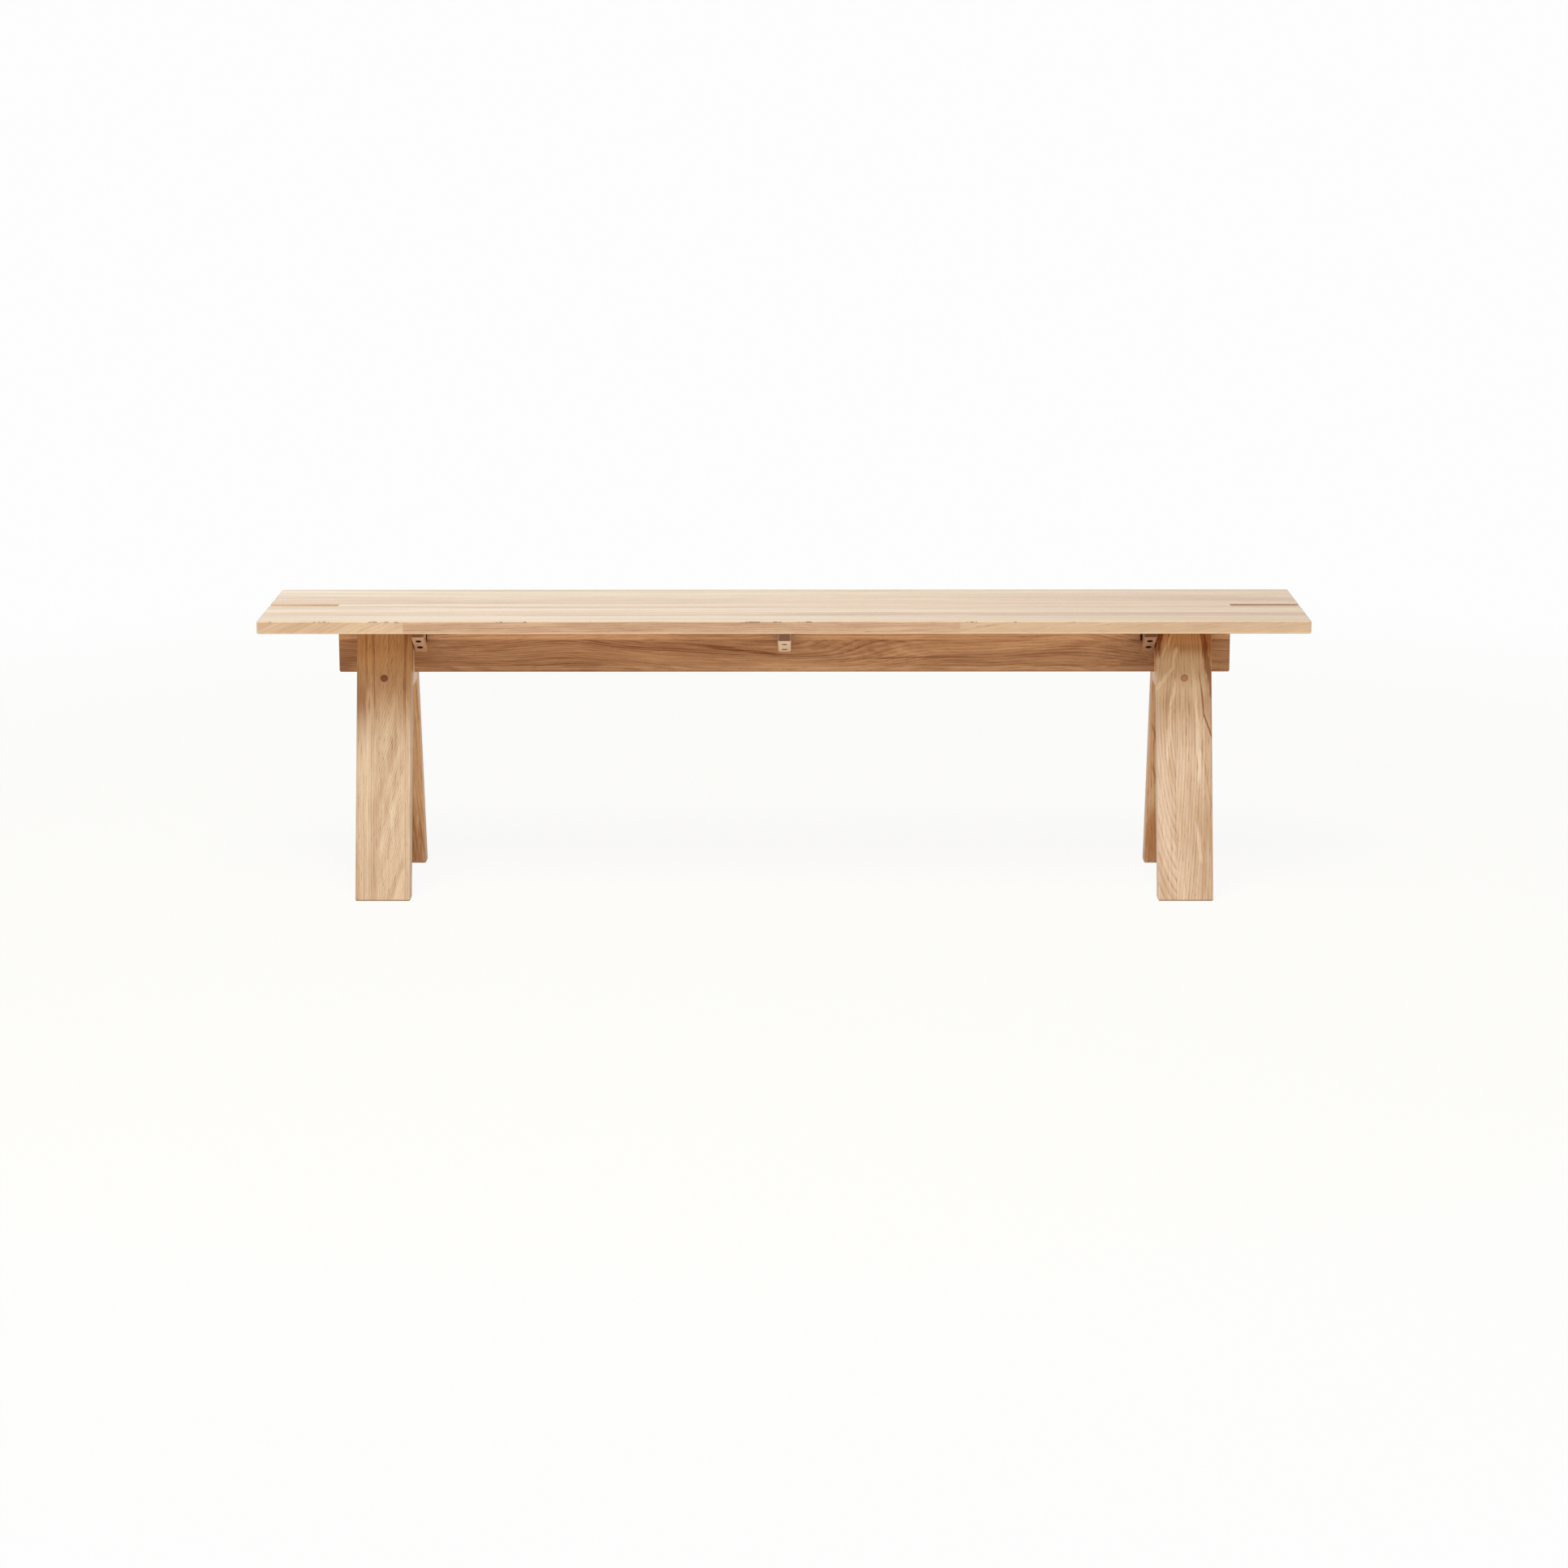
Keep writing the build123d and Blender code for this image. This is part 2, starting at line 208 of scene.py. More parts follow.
# A growth ring, as shares of its width: early wood fades out, then late wood deepens
EARLY_WOOD = (0.45, 0.05)
LATE_WOOD = (0.3, 1.0)
LATE_SHARE = 0.45
FAINTEST_RING = 0.25
RING_MIDDLE = 0.35

# How the pores begin to show, and what is left of them in late wood
PORE_STEP = (0.07, 0.2)
FINE_PORE_STEP = (0.05, 0.2)
LATE_PORES = 0.3
LATE_FINE_PORES = 0.2
FINE_PORE_SHARE = 0.6

# A tone of 0 is pale, 1 is deep and 2 has the colour of the pores. Below 0 it nears sapwood.
MIDDLE_TONE = 0.45
SAPWOOD = srgb(252, 234, 206)
SAPWOOD_SHARE = 0.8

# Where a face counts as end grain, and where a rounded edge takes a painted highlight, by how squarely it
# looks
END_GRAIN = (0.5, 0.8)
ROUND_EDGE_HIGHLIGHT = (0.96, 0.86)

FIBRE_HEIGHT = 0.5
PORE_ROUGHNESS = 0.18
END_ROUGHNESS = 0.15
OAK_IOR = 1.45

# The grain jumps this far along the board from one glued strip to the next
STRIP_OFFSET = 1.7

# A streak's edge, and how ragged it is, as shares of its width
STREAK_EDGE = (0.62, 0.3)
STREAK_RAGGED = 1.2


class Cut:
    """Where and how a board was cut from its log, in millimetres.

    pith is the pith line's place across the board and into its depth, at the board's origin.
    tilt is how far the pith leans off per unit of length, which makes arches.
    slope is how far the whole grain leans off per unit of length.
    sway is how far the grain wanders, with bends of them to a metre.
    """

    def __init__(self, origin, along, across, pith, tilt=(0.0, 0.0), slope=(0.0, 0.0), ring=4.0,
                 sway=4.0, bends=3.0, seed=0.0):
        self.origin = Vector(origin)
        self.along = Vector(along).normalized()
        self.across = Vector(across).normalized()
        self.depth = self.along.cross(self.across)
        self.pith = pith
        self.tilt = tilt
        self.slope = slope
        self.ring = ring
        self.sway = sway
        self.bends = bends
        self.seed = seed


class Board:
    """A board's coordinates in a material: plain ones, and ones that follow its grain.

    strips says where a board is glued up: the place of each joint across the board, and how much
    deeper in tone, how far off in its pith and how much more tilted the wood beyond it is.
    """

    def __init__(self, net, cut, strips):
        self.net = net
        self.cut = cut
        local = net.vector_math("SUBTRACT", net.place(), cut.origin).outputs[0]
        axes = (cut.along, cut.across, cut.depth)
        self.along, self.across, self.depth = [net.dot(local, axis) for axis in axes]
        self.shade = 0.0
        self.lean = 0.0
        start = self.along
        pith_shift = 0.0
        for edge, shade, shift, lean in strips:
            beyond = net.math("GREATER_THAN", self.across, edge * MM)
            start = start + beyond * STRIP_OFFSET
            self.shade = beyond * shade + self.shade
            pith_shift = beyond * (shift * MM) + pith_shift
            self.lean = beyond * lean + self.lean
        plain = (start, self.across, self.depth)
        counts = (cut.bends, WANDER_COUNT, WANDER_COUNT)
        self.grain = [start]
        for side, slope, seed in zip(plain[1:], cut.slope, WANDER_SEEDS):
            wander = net.noise(plain, counts, cut.seed + seed, 1.0) * (WANDER_SWING * cut.sway * MM)
            self.grain.append(side + self.along * -slope + wander)
        self.from_pith = (self.grain[1] + pith_shift, self.grain[2])

    def rings(self):
        """How many growth rings lie between the pith and a point."""
        leans = (self.lean + self.cut.tilt[0], self.cut.tilt[1])
        sides = [side - self.along * lean - pith * MM
                 for side, lean, pith in zip(self.from_pith, leans, self.cut.pith)]
        across, deep = [side * side for side in sides]
        return self.net.math("SQRT", across + deep) / (self.cut.ring * MM)

    def noise(self, counts, seed, detail=2.0, roughness=0.5):
        """Noise that follows the grain."""
        return self.net.noise(self.grain, counts, self.cut.seed + seed, detail, roughness)

    def streak(self, start, end, width, shade, fade):
        """A ragged streak between two points on the face, each across the board and along it."""
        slope = (end[0] - start[0]) / (end[1] - start[1])
        middle = self.along * slope + (start[0] - slope * start[1]) * MM
        ragged = self.noise(*RAGGED) * (STREAK_RAGGED * width * MM)
        gap = abs(self.across - middle) + ragged
        across = self.net.step(gap, *[share * width * MM for share in STREAK_EDGE])
        low, high = sorted((start[1], end[1]))
        return across * self.net.window(self.along, low * MM, high * MM, fade * MM) * shade


def oak(name, cut, tones, figure, streaks, ticks, mottle, bands=0.0, years=0.0, strips=(), marks=(),
        finish=None, gloss=0.25, roughness=0.42, arris=0.3, relief=0.12, end_shade=0.5):
    """Oiled oak for one board, from its cut and its pale, deep and pore colours.

    figure is the strength of its rings, streaks of its fibres, ticks of its pores and mottle of its
    patches; bands and years are wide bands that follow the grain and the rings. marks are single
    streaks, each with its start, end, width, shade and fade, where a shade below 0 is paler.
    arris is how strongly rounded edges take a painted highlight. finish takes the colour on to painted
    shade, painted highlights and nicks, and says how dull it makes them.
    """
    light, dark, pore_colour = tones
    net = Net(name)
    board = Board(net, cut, strips)
    phase = board.rings()
    place = net.math("FRACT", phase)
    own = net.node("ShaderNodeTexWhiteNoise", noise_dimensions="1D")
    net.feed(own.inputs["W"], net.math("FLOOR", phase))
    strength = Value(net, own.outputs["Value"]) * (1 - FAINTEST_RING) + FAINTEST_RING
    early = net.step(place, *EARLY_WOOD)
    late = net.step(place, *LATE_WOOD)
    rings = (early + late * LATE_SHARE) * strength - RING_MIDDLE

    fibres = board.noise(*FIBRES)
    tone = rings * figure + fibres * (FIBRE_SWING * streaks)
    tone = tone + board.noise(*PATCHES) * (PATCH_SWING * mottle)
    tone = tone + board.noise(*ZONES) * (ZONE_SWING * mottle)
    if bands:
        tone = tone + board.noise(*BANDS) * (BAND_SWING * bands)
    if years:
        wide_rings = net.noise((phase, board.along, board.across), YEARS, cut.seed)
        tone = tone + wide_rings * (BAND_SWING * years)
    tone = tone + MIDDLE_TONE + board.shade
    for mark in marks:
        tone = tone + board.streak(*mark)
    colour = net.mix(tone - 1.0, net.mix(tone, light, dark), pore_colour)
    colour = net.mix(tone * -SAPWOOD_SHARE, colour, SAPWOOD)

    pores = net.step(board.noise(*PORES), *PORE_STEP)
    pores = pores * (early * (1 - LATE_PORES) + LATE_PORES)
    fine = net.step(board.noise(*FINE_PORES), *FINE_PORE_STEP)
    fine = fine * (early * (1 - LATE_FINE_PORES) + LATE_FINE_PORES)
    open_grain = net.math("MAXIMUM", pores, fine * FINE_PORE_SHARE)
    colour = net.mix(open_grain * ticks, colour, pore_colour)

    normal = net.normal()
    facing = [abs(net.dot(normal, axis)) for axis in (cut.along, cut.across, cut.depth)]
    end_grain = net.step(facing[0], *END_GRAIN)
    colour = net.mix(end_grain * end_shade, colour, pore_colour)
    # Painted highlight on rounded edges, in the board's pale tone
    colour = net.mix(net.step(net.squareness(facing), *ROUND_EDGE_HIGHLIGHT) * arris, colour, light)
    if finish is not None:
        colour, dull = finish(net, colour)
        gloss = (1.0 - dull) * gloss

    height = fibres * FIBRE_HEIGHT - open_grain
    rough = open_grain * PORE_ROUGHNESS + end_grain * END_ROUGHNESS + roughness
    return net.surface(colour, rough, height, relief * MM, IOR=OAK_IOR, Specular_IOR_Level=gloss)


def paint(node, material):
    """Gives a carried-over board its finish."""
    target = nodes[node]
    target.data.materials.clear()
    target.data.materials.append(material)


# Sizes

seat_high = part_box("seat_stave_rear_3")[1]
front_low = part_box("seat_stave_front_4_middle")[0]
lath_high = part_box("centre_lath")[1]
leg_low, leg_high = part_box("leg_front_left")
rail_low, rail_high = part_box("centre_rail")
leg_place = abs(leg_low.x + leg_high.x) / 2

LEAN = math.radians(15.3)
BORE_RADIUS = 4.6 * MM
PLUG_RADIUS = 5.7 * MM
WAIST_REACH = 33 * MM

# Painted shade for deep recesses: the rail's notches, the battens' counterbores and cut-back sides, and the
# gap round each plug
RECESS_SHADE = srgb(58, 36, 24)

# How squarely a face has to look along an axis to count as facing that way
FACING_UP = (0.7, 0.9)
FACING_DOWN = (-0.6, -0.9)
FACING_ASIDE = (0.5, 0.7)
FLAT_SIDE = (0.9, 0.98)

# Seat

# Small torn places in the front arris, from and to
NICKS = ((-804, -801), (-735, -711), (-649, -635), (-625, -601), (-449, -439), (-406, -402),
         (-302, -298), (-66, -37), (-16, -3), (23, 44), (286, 302), (360, 364), (386, 390), (451, 455))
NICK_COLOUR = srgb(104, 62, 38)
NICK_SOFT = 1.5 * MM
NICK_DEPTH = 1.2 * MM
NICK_RAGGED = 1.6 * MM
NICK_OUTLINE = ((90.0, 0.0, 0.0), 4.0, 2.0)
NICK_CHIPS = ((170.0, 0.0, 0.0), 9.0, 1.0)
CHIP_STEP = (-0.12, 0.04)

# Painted highlight for the front arrises, and painted shade for the rear and end ones
ARRIS_HIGHLIGHT = srgb(246, 224, 196)
REAR_AND_END_SHADE = srgb(146, 120, 100)
ARRIS = (0.985, 0.93)

# Painted shade: the seat's top darkens towards its right end, where less light falls, and the slots' walls
# take painted shade, deeper towards the right
RIGHT_END_SHADE = (0.775, 0.64, 0.455, 1.0)
RIGHT_END_SHADE_SPAN = (-0.8, 1.1)
SLOT_SHADE = srgb(96, 54, 32)
SLOT_SPAN = (-0.5, 0.5)
SLOT_SHARES = (0.04, 0.42)

# Where a tone lies, by how many millimetres in from a face or side it starts and is full
SLOT_WALL = (3, 1)
FRONT_EDGE = (6, 3)
LOWER_ARRIS = (2.6, 1.6)
UPPER_ARRIS = (-4, -2)
REAR_EDGE = (-9, -4)
NICK_LINE = (0.8, 0.4)

# How much painted highlight or painted shade each edge takes, and how dull the underside is
FRONT_ARRIS_SHARE = 0.35
LOWER_ARRIS_SHARE = 0.5
OTHER_ARRIS_SHARE = 0.85
REAR_EDGE_SHARE = 0.55
UNDERSIDE_DULL = 0.8

SEAT_GLOSS = {"gloss": 0.5, "roughness": 0.2}


def seat_painted_light_and_nicks(net, colour):
    """Painted shade to the right and in the slots, painted highlights on the front arrises with small torn
    nicks, and painted shade on the rear and end arrises.
    """
    x, y, z = net.parts(net.place())
    facing = net.parts(net.normal())
    # Painted shade towards the right end of the top, and in the slots
    right_shade = net.step(facing[2], *FACING_UP) * net.step(x, *RIGHT_END_SHADE_SPAN)
    colour = net.mix(right_shade, colour, RIGHT_END_SHADE, "MULTIPLY")
    in_slot = net.inset(abs(y), lath_high.y, *SLOT_WALL) * net.step(abs(facing[1]), *FACING_ASIDE)
    left, right = SLOT_SHARES
    slot_share = net.step(x, *SLOT_SPAN) * (right - left) + left
    colour = net.mix(in_slot * slot_share, colour, SLOT_SHADE)

    rounded = net.step(net.squareness([abs(part) for part in facing]), *ARRIS)
    front = net.inset(y, front_low.y, *FRONT_EDGE)
    lowest = net.inset(z, front_low.z, *LOWER_ARRIS) * front
    # Painted highlight on the upper and lower front arrises; painted shade on the rear and end arrises and
    # along the rear edge
    colour = net.mix(rounded * front * FRONT_ARRIS_SHARE, colour, ARRIS_HIGHLIGHT)
    colour = net.mix(lowest * LOWER_ARRIS_SHARE, colour, ARRIS_HIGHLIGHT)
    behind = rounded * (1.0 - front) * net.inset(z, seat_high.z, *UPPER_ARRIS)
    colour = net.mix(behind * OTHER_ARRIS_SHARE, colour, REAR_AND_END_SHADE)
    rear = net.inset(y, seat_high.y, *REAR_EDGE)
    colour = net.mix(rear * REAR_EDGE_SHARE, colour, REAR_AND_END_SHADE)

    windows = [net.window(x, low * MM, high * MM, NICK_SOFT) for low, high in NICKS]
    torn = sum(windows[1:], windows[0])
    ragged = net.noise((x, y, z), *NICK_OUTLINE) * NICK_RAGGED
    line = net.inset(abs(z - (seat_high.z - NICK_DEPTH) + ragged), 0, *NICK_LINE)
    chips = net.step(net.noise((x, y, z), *NICK_CHIPS), *CHIP_STEP)
    colour = net.mix(torn * line * front * chips, colour, NICK_COLOUR)
    return colour, net.math("MAXIMUM", behind, net.step(facing[2], *FACING_DOWN) * UNDERSIDE_DULL)


def stave_cut(seed, y, pith, **grain):
    """A stave's cut: its grain runs along the bench."""
    return Cut((0, y * MM, seat_high.z), (1, 0, 0), (0, 1, 0), pith, seed=seed, **grain)


pale_stave = (srgb(252, 230, 194), srgb(218, 184, 136), srgb(184, 146, 104))
tan_stave = (srgb(244, 214, 172), srgb(204, 164, 118), srgb(166, 126, 88))
edge_pale = (srgb(230, 204, 172), srgb(186, 149, 114), srgb(146, 106, 76))
edge_brown = (srgb(217, 184, 152), srgb(164, 120, 88), srgb(128, 88, 62))

# A mark's ends are places across its board and along it, from the origin of its cut
staves = {
    "front_1": {"tones": tan_stave, "cut": stave_cut(seed=1.0, y=-22, pith=(90, -60))},
    "front_2": {"tones": pale_stave, "cut": stave_cut(seed=2.0, y=-56, pith=(-70, -110)), "marks": (
        ((-7, 0), (-7, 840), 34, -0.25, 120),
    )},
    "front_3": {"tones": tan_stave, "cut": stave_cut(seed=3.0, y=-94, pith=(60, -80)), "marks": (
        ((2, -840), (2, 840), 46, 0.2, 80),
        ((2, -40), (2, 840), 40, 0.25, 80),
    )},
    "rear_1": {"tones": tan_stave, "cut": stave_cut(seed=5.0, y=22, pith=(-80, -70))},
    "rear_2": {"tones": tan_stave, "cut": stave_cut(seed=6.0, y=65, pith=(40, -120)), "marks": (
        ((0, -840), (0, -560), 70, 0.2, 100),
        ((-15, -520), (-15, -330), 36, -0.2, 80),
        ((14, -170), (14, 330), 24, -0.4, 100),
        ((0, 560), (0, 840), 70, 0.14, 100),
    )},
    "rear_3": {"tones": pale_stave, "cut": stave_cut(seed=7.0, y=130, pith=(-60, -90)), "marks": (
        ((-10, -640), (-10, -340), 60, 0.16, 120),
    )},
}
for stave, look in staves.items():
    name = "seat_stave_" + stave
    stave_oak = oak(name, figure=0.25, streaks=0.3, ticks=0.25, mottle=0.3, bands=1.0, relief=0.04,
                    finish=seat_painted_light_and_nicks, **SEAT_GLOSS, **look)
    paint(name, stave_oak)

# The front staves' upper faces take the seat's paler, banded tones, lighter than their own front faces:
# partly the top's own look, partly painted light for the sheen that the top catches
UPPER_SHARE = 0.85
UPPER_BANDS = ((1.4, 60.0, 60.0), 81.0, 3.0, 0.6)
UPPER_FIBRES = ((11.0, 250.0, 250.0), 83.0, 4.0, 0.68)
UPPER_BAND_SWING = 1.9
UPPER_FIBRE_SWING = 0.9
UPPER_TONE = 0.42
DEEPER_LEFT = 0.3
DEEPER_SPAN = (-0.55, -0.8)


def front_edges(net, colour):
    """The front staves' finish: the seat's paler tones on their upper faces, partly painted light, over the
    deeper ones of the edge.
    """
    point = net.parts(net.place())
    facing_up = net.step(net.parts(net.normal())[2], *FACING_UP)
    bands = net.noise(point, *UPPER_BANDS) * UPPER_BAND_SWING
    fibres = net.noise(point, *UPPER_FIBRES) * UPPER_FIBRE_SWING
    tone = bands + fibres + net.step(point[0], *DEEPER_SPAN) * DEEPER_LEFT + UPPER_TONE
    light, dark = pale_stave[:2]
    upper = net.mix(tone, light, dark)
    return seat_painted_light_and_nicks(net, net.mix(facing_up * UPPER_SHARE, colour, upper))


# The front edge's staves, each with the strength of its figure and streaks. Its bands have a
# share of that strength.
EDGE_BANDS_SHARE = 0.4
edge_staves = {
    "left": (0.34, {
        "tones": edge_pale,
        "cut": stave_cut(seed=11.0, y=-140, pith=(-30, -46), slope=(0, 0.42), ring=2.3, sway=1.5),
        "marks": (((-25, -690), (-25, -590), 60, -0.2, 50),),
    }),
    "middle": (0.4, {
        "tones": edge_brown,
        "cut": stave_cut(seed=12.0, y=-140, pith=(-40, 50), slope=(0, 0.02), ring=3.6, sway=3.0, bends=7.0),
        "marks": (((-25, -560), (-25, -320), 60, -0.13, 70), ((-25, 180), (-25, 300), 60, -0.14, 50)),
    }),
    "right": (0.22, {
        "tones": edge_pale,
        "cut": stave_cut(seed=13.0, y=-140, pith=(-36, -60), slope=(0, 0.14), ring=3.4, sway=2.0),
        "marks": (((-25, 430), (-25, 690), 60, -0.08, 70),),
    }),
}
for part, (figure, look) in edge_staves.items():
    name = "seat_stave_front_4_" + part
    edge_oak = oak(name, figure=figure, streaks=figure, ticks=0.5, mottle=0.25,
                   bands=EDGE_BANDS_SHARE * figure, relief=0.06, finish=front_edges, **SEAT_GLOSS,
                   **look)
    paint(name, edge_oak)

lath_cut = stave_cut(seed=15.0, y=0, pith=(50, -60))
lath_oak = oak("centre_lath", lath_cut, pale_stave, figure=0.25, streaks=0.3, ticks=0.3, mottle=0.3,
               relief=0.04, finish=seat_painted_light_and_nicks, **SEAT_GLOSS)
paint("centre_lath", lath_oak)

# Rail

# A deep brown for the rail's foot line and for its painted shade near the legs
RAIL_FOOT_AND_SHADE = srgb(98, 58, 34)
RAIL_FOOT = (3, 1.5)
RAIL_FOOT_SHARE = 0.5
# Painted shade on the notches' walls, which stops short of the rail's ends
NOTCHES_FROM_END = (-4, -6)
NOTCH_SHADE_SHARE = 0.85

# Painted shade on the rail beyond the left leg, most of all low down, and a fainter patch of painted shade
# inside the right leg, beside it
LEG_SHADE_SHARE = 0.3
LEG_SHADE_BEYOND = (-50, -65)
LEG_SHADE_RISE = (45, 0)
LEG_SHADE_INSIDE = 95 * MM
LEG_SHADE_INSIDE_SOFT = 25 * MM
LEG_SHADE_INSIDE_SHARE = 0.6


def rail_foot_and_painted_shade(net, colour):
    """Painted shade on the notches' walls, which also lose their gloss, and near the legs, and a darker
    line along the rail's foot.
    """
    x, y, z = net.parts(net.place())
    side = abs(net.parts(net.normal())[0])
    inside = net.step(side, *FACING_ASIDE) * net.inset(abs(x), rail_high.x, *NOTCHES_FROM_END)
    foot = net.inset(z, rail_low.z, *RAIL_FOOT)
    colour = net.mix(foot * RAIL_FOOT_SHARE, colour, RAIL_FOOT_AND_SHADE)
    leg_shade = net.inset(x, -leg_place, *LEG_SHADE_BEYOND) * net.inset(z, rail_low.z, *LEG_SHADE_RISE)
    patch = net.window(x, leg_place - LEG_SHADE_INSIDE, leg_place, LEG_SHADE_INSIDE_SOFT)
    leg_shade = leg_shade + patch * LEG_SHADE_INSIDE_SHARE
    colour = net.mix(leg_shade * LEG_SHADE_SHARE, colour, RAIL_FOOT_AND_SHADE)
    return net.mix(inside * NOTCH_SHADE_SHARE, colour, RECESS_SHADE), inside


rail_tones = (srgb(233, 191, 150), srgb(137, 83, 46), srgb(92, 56, 33))
rail_cut = Cut(origin=(0, 0, rail_low.z), along=(1, 0, 0), across=(0, 0, 1), pith=(190, 90), ring=3.8,
               sway=20.0, bends=2.6, seed=21.0)
rail_strips = ((9.5, 0.2, 0, 0), (52.6, -0.36, 0, 0))
rail_marks = (
    ((30, -40), (30, 500), 150, -0.16, 70),
    ((43, 678), (43, 720), 150, -0.1, 12),
    ((30, 400), (52, 520), 9, 0.16, 60),
    ((52, 560), (34, 640), 9, 0.16, 40),
    ((22, 130), (25, 290), 3.0, 0.4, 40),
    ((42, -130), (26, 10), 5.0, 0.3, 40),
)
rail_oak = oak("centre_rail", rail_cut, rail_tones, figure=0.45, streaks=0.34, ticks=0.4, mottle=0.12,
               bands=0.1, years=0.3, arris=0.1, strips=rail_strips, marks=rail_marks, finish=rail_foot_and_painted_shade)
paint("centre_rail", rail_oak)

# Legs, the front ones glued from strips. Their cuts start at the floor.

# Painted shade: each front leg's deeper, warmer tones towards the seat, which shades it: a colour and the
# heights where it starts and is full
SEAT_SHADE_ON_LEGS = {
    "left": (((0.93, 0.82, 0.70, 1.0), 0.23, 0.34), ((0.94, 0.80, 0.64, 1.0), 0.28, 0.38)),
    "right": (((0.98, 0.91, 0.80, 1.0), 0.22, 0.34), ((0.93, 0.70, 0.48, 1.0), 0.37, 0.415)),
}
# Painted shade along the foot, where the leg meets the floor
FOOT_SHADE = srgb(150, 108, 76)
FOOT = (3, 1.5)
FOOT_SHARE = 0.6

LEFT, RIGHT = -1, 1
FRONT, REAR = -1, 1


def front_leg_painted_shade(side):
    """Painted shade, deeper and more golden towards the seat that shades the leg, and darker along the foot
    where it meets the floor.
    """

    def finish(net, colour):
        z = net.parts(net.place())[2]
        for tone, start, full in SEAT_SHADE_ON_LEGS[side]:
            colour = net.mix(net.step(z, start, full), colour, tone, "MULTIPLY")
        return net.mix(net.inset(z, 0, *FOOT) * FOOT_SHARE, colour, FOOT_SHADE), 0.0

    return finish


def leg_axes(row):
    """The direction of a leg's grain, and the one across its face."""
    return Vector((0, -row * math.sin(LEAN), math.cos(LEAN))), Vector((1, 0, 0))


def leg_cut(side, row, pith, **grain):
    """A leg's cut, measured up its outer face from the floor."""
    along, across = leg_axes(row)
    return Cut((side * leg_place, row * abs(leg_low.y), 0), along, across, pith, **grain)


front_left_marks = (
    ((-37, 290), (-37, 345), 24, 0.75, 40),
    # A wide pale band of painted light where the seat's shadow ends on the leg
    ((-4, 392), (4, 353), 120, -0.55, 18),
    ((-31, 250), (-31, 85), 34, -0.16, 40),
    ((-30, 450), (-27, 345), 4, 0.5, 30),
    ((-18, 430), (-14, 290), 3.5, 0.55, 30),
    ((7, 450), (6, 340), 3, 0.45, 30),
    ((33.0, 450), (33.4, 300), 5.5, 0.75, 70),
    ((-6, 150), (20, 258), 15, 0.28, 20),
    ((8, 0), (32, 62), 12, 0.28, 12),
    ((2, 225), (12, 300), 12, -0.2, 20),
    ((-2, 75), (18, 160), 12, -0.15, 20),
)
front_right_marks = (
    ((-59, 389), (-31, 450), 34, 1.6, 6),
    ((-36, 389), (-9, 446), 5.0, -0.45, 6),
    ((-13, 402), (-20, 366), 6.5, -1.05, 5),
    ((-19, 370), (-44, 337), 7.5, -1.0, 4),
    ((-14, 350), (-22, 312), 5.5, -0.8, 6),
    ((-27, 270), (-27, 60), 26, -0.22, 40),
    ((-22, 316), (-27, 230), 6.0, -0.55, 20),
    ((13, 375), (20, 285), 6.0, -0.75, 10),
    ((20, 285), (23, 190), 6.5, -0.62, 15),
    ((24, 450), (46, 325), 9.0, 1.1, 6),
    ((24, 362), (31, 294), 2.8, 1.2, 10),
    ((30.5, 297), (44, 258), 2.8, 1.2, 5),
    ((36, 450), (41, 270), 16, 0.15, 40),
    ((38, 450), (50, 380), 20, 0.35, 10),
    # A wide pale band of painted light where the seat's shadow ends on the leg, then a band of painted
    # shade just under the seat
    ((-4, 391), (4, 330), 120, -0.62, 18),
    ((16, 409), (16, 396), 66, 0.28, 6),
    ((26, 250), (42, 150), 3.0, 0.3, 10),
    ((18, 120), (25, 62), 5.0, -0.4, 8),
)
rear_left_marks = (
    ((28, 290), (22, 60), 9, 0.3, 25),
    # Painted shade, darker towards the foot
    ((22, 110), (22, -10), 30, 0.42, 30),
)
rear_right_marks = (
    ((-38, 260), (-30, 225), 4, 0.6, 8),
    ((-36, 190), (-30, 160), 4, 0.5, 8),
    # Painted shade, darker towards the foot
    ((-30, 110), (-30, -10), 30, 0.48, 30),
)
legs = {
    "front_left": {
        "tones": (srgb(218, 194, 164), srgb(172, 134, 99), srgb(124, 86, 57)),
        "cut": leg_cut(LEFT, FRONT, (-160, 60), tilt=(0.0, 0.02), ring=3.6, sway=1.6, bends=4.0, seed=31.0),
        "strips": ((-28, -0.12, 0, 0), (-7, -0.14, 30, 0.34), (33, 0.3, 60, -0.34)),
        "marks": front_left_marks,
        "finish": front_leg_painted_shade("left"),
    },
    "front_right": {
        "tones": (srgb(232, 210, 184), srgb(186, 149, 114), srgb(144, 88, 50)),
        "cut": leg_cut(RIGHT, FRONT, (4, 70), tilt=(0.0, -0.24), ring=4.6, sway=2.0, bends=4.0, seed=32.0),
        "strips": ((-13.7, 0.0, 150, 0), (24.5, 0.2, 120, 0)),
        "marks": front_right_marks,
        "finish": front_leg_painted_shade("right"),
    },
    "rear_left": {
        "tones": (srgb(252, 214, 170), srgb(184, 131, 87), srgb(128, 84, 54)),
        "cut": leg_cut(LEFT, REAR, (-60, 40), tilt=(0.0, 0.05), ring=4.2, sway=4.0, bends=5.0, seed=33.0),
        "marks": rear_left_marks,
    },
    "rear_right": {
        "tones": (srgb(255, 228, 190), srgb(200, 149, 104), srgb(132, 88, 58)),
        "cut": leg_cut(RIGHT, REAR, (50, 46), tilt=(0.0, -0.05), ring=4.2, sway=4.0, bends=5.0, seed=34.0),
        "marks": rear_right_marks,
    },
}
for leg, look in legs.items():
    name = "leg_" + leg
    paint(name, oak(name, figure=0.5, streaks=0.42, ticks=0.6, mottle=0.3, years=0.25, **look))

# Saddle blocks and battens, whose grain runs across the bench


